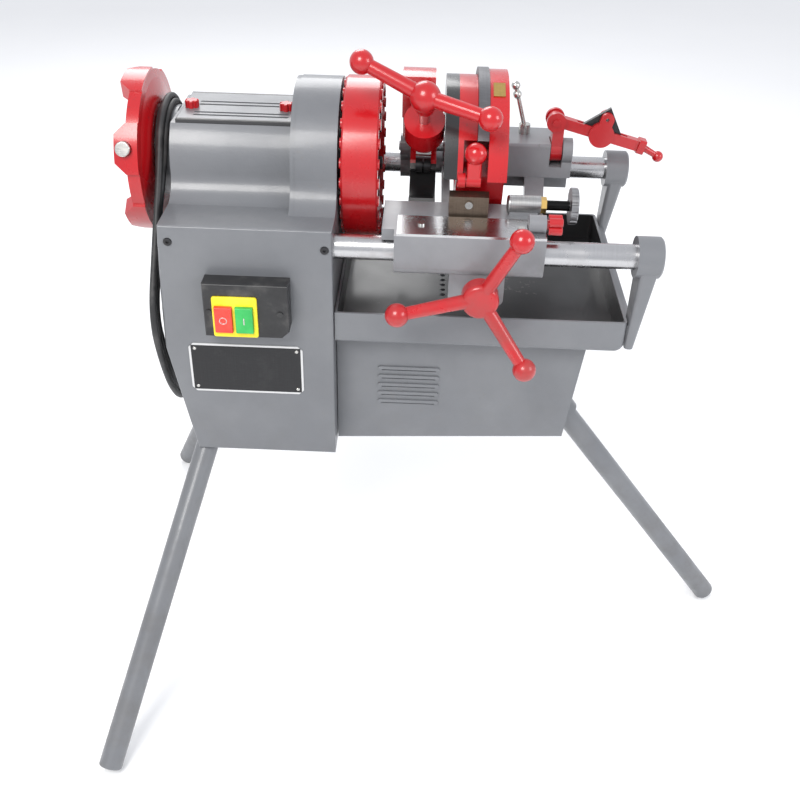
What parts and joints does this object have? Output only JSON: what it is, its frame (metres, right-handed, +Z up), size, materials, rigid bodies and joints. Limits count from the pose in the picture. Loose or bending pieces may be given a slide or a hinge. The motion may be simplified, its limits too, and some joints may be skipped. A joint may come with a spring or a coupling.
{
  "type": "pipe threading machine",
  "caption": "Electric pipe threader on tubular legs, with a gear-driven hammer chuck, two rails, and a sliding carriage that holds a cutter, a die head and a reamer.",
  "frame": {"origin": "on the floor, at the middle of the machine's outline seen from above, its cord left out", "axes": "+X along the spindle and the rails from the headstock to the end bracket, +Y away from the operator, +Z up"},
  "size_m": [0.9137, 0.6874, 0.8392],
  "materials": {
    "grey_paint": "semi-gloss grey enamel on cast iron and sheet steel",
    "black_cover": "black painted lid with grey edges",
    "red_paint": "glossy red enamel",
    "plated_screw": "zinc-plated steel",
    "ground_steel": "ground round bar and plate, lightly oiled",
    "carriage_enamel": "pale grey enamel on cast iron",
    "machined_steel": "turned and milled steel",
    "black_steel": "hardened and blackened steel",
    "motor_iron": "plain iron",
    "black_plastic": "moulded black plastic",
    "yellow_plastic": "moulded yellow plastic",
    "green_plastic": "moulded green plastic",
    "red_plastic": "moulded red plastic",
    "plate_metal": "blackened plate with a bright border, blank",
    "bronze_block": "oil-stained steel",
    "valve_metal": "die-cast valve with a brass nut",
    "valve_wheel_metal": "knurled steel wheel on a black stem",
    "cord_rubber": "black rubber sheath"
  },
  "bodies": {
    "base": {"headstock_casting": "grey_paint", "front_cover": "grey_paint", "panel_screws": "plated_screw", "top_lid": "black_cover", "lid_knobs": "red_paint", "rear_bearing_cap": "grey_paint", "spindle_bearings": "machined_steel", "gear_motor": "motor_iron", "front_rail": "ground_steel", "back_rail": "ground_steel", "end_bracket": "grey_paint", "chip_tray": "grey_paint", "tank_cabinet": "grey_paint", "oil_pump": "motor_iron", "leg_front_left": "grey_paint", "leg_back_left": "grey_paint", "leg_right": "grey_paint", "switch_box": "black_plastic", "switch_frame": "yellow_plastic", "nameplate": "plate_metal", "power_cord": "cord_rubber", "cord_hank": "cord_rubber", "power_plug": "cord_rubber"},
    "spindle_set": {"spindle": "machined_steel", "spindle_gear": "machined_steel", "rear_wheel": "red_paint"},
    "layshaft_set": {"layshaft": "machined_steel"},
    "motor_rotor": {"motor_pinion": "machined_steel"},
    "chuck_ring": {"chuck_wheel": "red_paint"},
    "jaw_1": {"chuck_jaw_1": "black_steel"},
    "jaw_2": {"chuck_jaw_2": "black_steel"},
    "jaw_3": {"chuck_jaw_3": "black_steel"},
    "screw_1": {"centring_screw_1": "plated_screw"},
    "screw_2": {"centring_screw_2": "plated_screw"},
    "screw_3": {"centring_screw_3": "plated_screw"},
    "carriage_set": {"carriage": "carriage_enamel", "guard_strip": "ground_steel", "carriage_screws": "plated_screw", "template_block": "bronze_block", "tool_pivot_shaft": "ground_steel", "valve_body": "valve_metal"},
    "feed_wheel": {"handwheel": "red_paint", "pinion_shaft": "machined_steel"},
    "cutter": {"cutter_frame": "red_paint"},
    "cutter_ram": {"cutter_slide": "machined_steel"},
    "cutter_tee": {"cutter_handle": "red_paint"},
    "cutter_disc": {"cutter_wheel": "black_steel"},
    "cutter_roller_pair": {"cutter_rollers": "black_steel"},
    "die_head": {"die_head_body": "red_paint", "thread_dies": "black_steel"},
    "cam": {"cam_ring": "machined_steel"},
    "cam_lever": {"die_lever": "red_paint"},
    "reamer_tongue": {"reamer_link": "red_paint"},
    "reamer": {"reamer_arm": "red_paint", "reamer_blade": "black_steel"},
    "carriage_lock": {"carriage_lock_lever": "black_steel"},
    "valve_spindle": {"valve_wheel": "valve_wheel_metal"},
    "flow_spindle": {"flow_knob": "red_paint"},
    "start": {"start_button": "green_plastic"},
    "stop": {"stop_button": "red_plastic"}
  },
  "joints": [
    {"name": "spindle_spin", "type": "hinge", "parent": "base", "child": "spindle_set", "pos_m": [-0.3, 0.1, 0.686], "axis": [1, 0, 0], "continuous": true},
    {"name": "layshaft_spin", "type": "hinge", "parent": "base", "child": "layshaft_set", "pos_m": [-0.15, 0.06, 0.59873], "axis": [1, 0, 0], "continuous": true},
    {"name": "motor_spin", "type": "hinge", "parent": "base", "child": "motor_rotor", "pos_m": [-0.2, 0.06, 0.52673], "axis": [1, 0, 0], "continuous": true},
    {"name": "chuck_turn", "type": "hinge", "parent": "spindle_set", "child": "chuck_ring", "pos_m": [-0.1, 0.1, 0.686], "axis": [1, 0, 0], "range_deg": [0, 120]},
    {"name": "jaw_1_slide", "type": "slide", "parent": "spindle_set", "child": "jaw_1", "axis": [0, 0, -1], "range_m": [0, 0.02]},
    {"name": "jaw_2_slide", "type": "slide", "parent": "spindle_set", "child": "jaw_2", "axis": [0, 0.866, 0.5], "range_m": [0, 0.02]},
    {"name": "jaw_3_slide", "type": "slide", "parent": "spindle_set", "child": "jaw_3", "axis": [0, -0.866, 0.5], "range_m": [0, 0.02]},
    {"name": "screw_1_slide", "type": "slide", "parent": "spindle_set", "child": "screw_1", "axis": [0, 0.9397, -0.342], "range_m": [0, 0.018]},
    {"name": "screw_2_slide", "type": "slide", "parent": "spindle_set", "child": "screw_2", "axis": [0, -0.1736, 0.9848], "range_m": [0, 0.018]},
    {"name": "screw_3_slide", "type": "slide", "parent": "spindle_set", "child": "screw_3", "axis": [0, -0.766, -0.6428], "range_m": [0, 0.018]},
    {"name": "carriage_slide", "type": "slide", "parent": "base", "child": "carriage_set", "axis": [1, 0, 0], "range_m": [-0.005, 0.05]},
    {"name": "feed_wheel_turn", "type": "hinge", "parent": "carriage_set", "child": "feed_wheel", "pos_m": [0.045, -0.09, 0.591], "axis": [0, 1, 0], "range_deg": [-120, 12.5]},
    {"name": "cutter_swing", "type": "hinge", "parent": "carriage_set", "child": "cutter", "pos_m": [-0.028, 0.205, 0.664], "axis": [-1, 0, 0], "range_deg": [0, 100]},
    {"name": "cutter_ram_slide", "type": "slide", "parent": "cutter", "child": "cutter_ram", "axis": [0, 0.6428, -0.766], "range_m": [0, 0.02]},
    {"name": "cutter_tee_turn", "type": "hinge", "parent": "cutter_ram", "child": "cutter_tee", "pos_m": [-0.028, 0.01014, 0.79309], "axis": [0, 0.6428, -0.766], "range_deg": [0, 1450]},
    {"name": "cutter_disc_spin", "type": "hinge", "parent": "cutter_ram", "child": "cutter_disc", "pos_m": [-0.028, 0.06979, 0.722], "axis": [1, 0, 0], "continuous": true},
    {"name": "cutter_roller_spin", "type": "hinge", "parent": "cutter", "child": "cutter_roller_pair", "pos_m": [-0.028, 0.13316, 0.66363], "axis": [1, 0, 0], "continuous": true},
    {"name": "die_head_swing", "type": "hinge", "parent": "carriage_set", "child": "die_head", "pos_m": [0.04, 0.205, 0.664], "axis": [-1, 0, 0], "range_deg": [0, 100]},
    {"name": "cam_turn", "type": "hinge", "parent": "die_head", "child": "cam", "pos_m": [0.0415, 0.1, 0.686], "axis": [1, 0, 0], "range_deg": [-12, 0]},
    {"name": "cam_lever_turn", "type": "hinge", "parent": "die_head", "child": "cam_lever", "pos_m": [0.0325, 0, 0.699], "axis": [1, 0, 0], "range_deg": [0, 60]},
    {"name": "reamer_tongue_swing", "type": "hinge", "parent": "carriage_set", "child": "reamer_tongue", "pos_m": [0.152, 0.205, 0.664], "axis": [1, 0, 0], "range_deg": [0, 78]},
    {"name": "reamer_swing", "type": "hinge", "parent": "reamer_tongue", "child": "reamer", "pos_m": [0.148, 0.205, 0.706], "axis": [0, -1, 0], "range_deg": [0, 105]},
    {"name": "carriage_lock_turn", "type": "hinge", "parent": "carriage_set", "child": "carriage_lock", "pos_m": [0.11, 0.235, 0.676], "axis": [0, 0, 1], "range_deg": [0, 90]},
    {"name": "valve_turn", "type": "hinge", "parent": "carriage_set", "child": "valve_spindle", "pos_m": [0.13, 0.005, 0.669], "axis": [1, 0, 0], "range_deg": [0, 340]},
    {"name": "flow_turn", "type": "hinge", "parent": "carriage_set", "child": "flow_spindle", "pos_m": [0.13, -0.044, 0.666], "axis": [1, 0, 0], "range_deg": [0, 300]},
    {"name": "start_press", "type": "slide", "parent": "base", "child": "start", "axis": [0, 1, 0], "range_m": [0, 0.004], "stiffness_N_per_m": 300},
    {"name": "stop_press", "type": "slide", "parent": "base", "child": "stop", "axis": [0, 1, 0], "range_m": [0, 0.004], "stiffness_N_per_m": 300}
  ],
  "couplings": [
    {"joint": "layshaft_spin", "follows": "spindle_spin", "ratio": -5},
    {"joint": "motor_spin", "follows": "spindle_spin", "ratio": 17.5},
    {"joint": "jaw_1_slide", "follows": "chuck_turn", "m_per_rad": 0.00954},
    {"joint": "jaw_2_slide", "follows": "chuck_turn", "m_per_rad": 0.00954},
    {"joint": "jaw_3_slide", "follows": "chuck_turn", "m_per_rad": 0.00954},
    {"joint": "feed_wheel_turn", "follows": "carriage_slide", "rad_per_m": -41.667},
    {"joint": "cutter_tee_turn", "follows": "cutter_ram_slide", "rad_per_m": 1256.6},
    {"joint": "cam_turn", "follows": "cam_lever_turn", "ratio": -0.2}
  ]
}
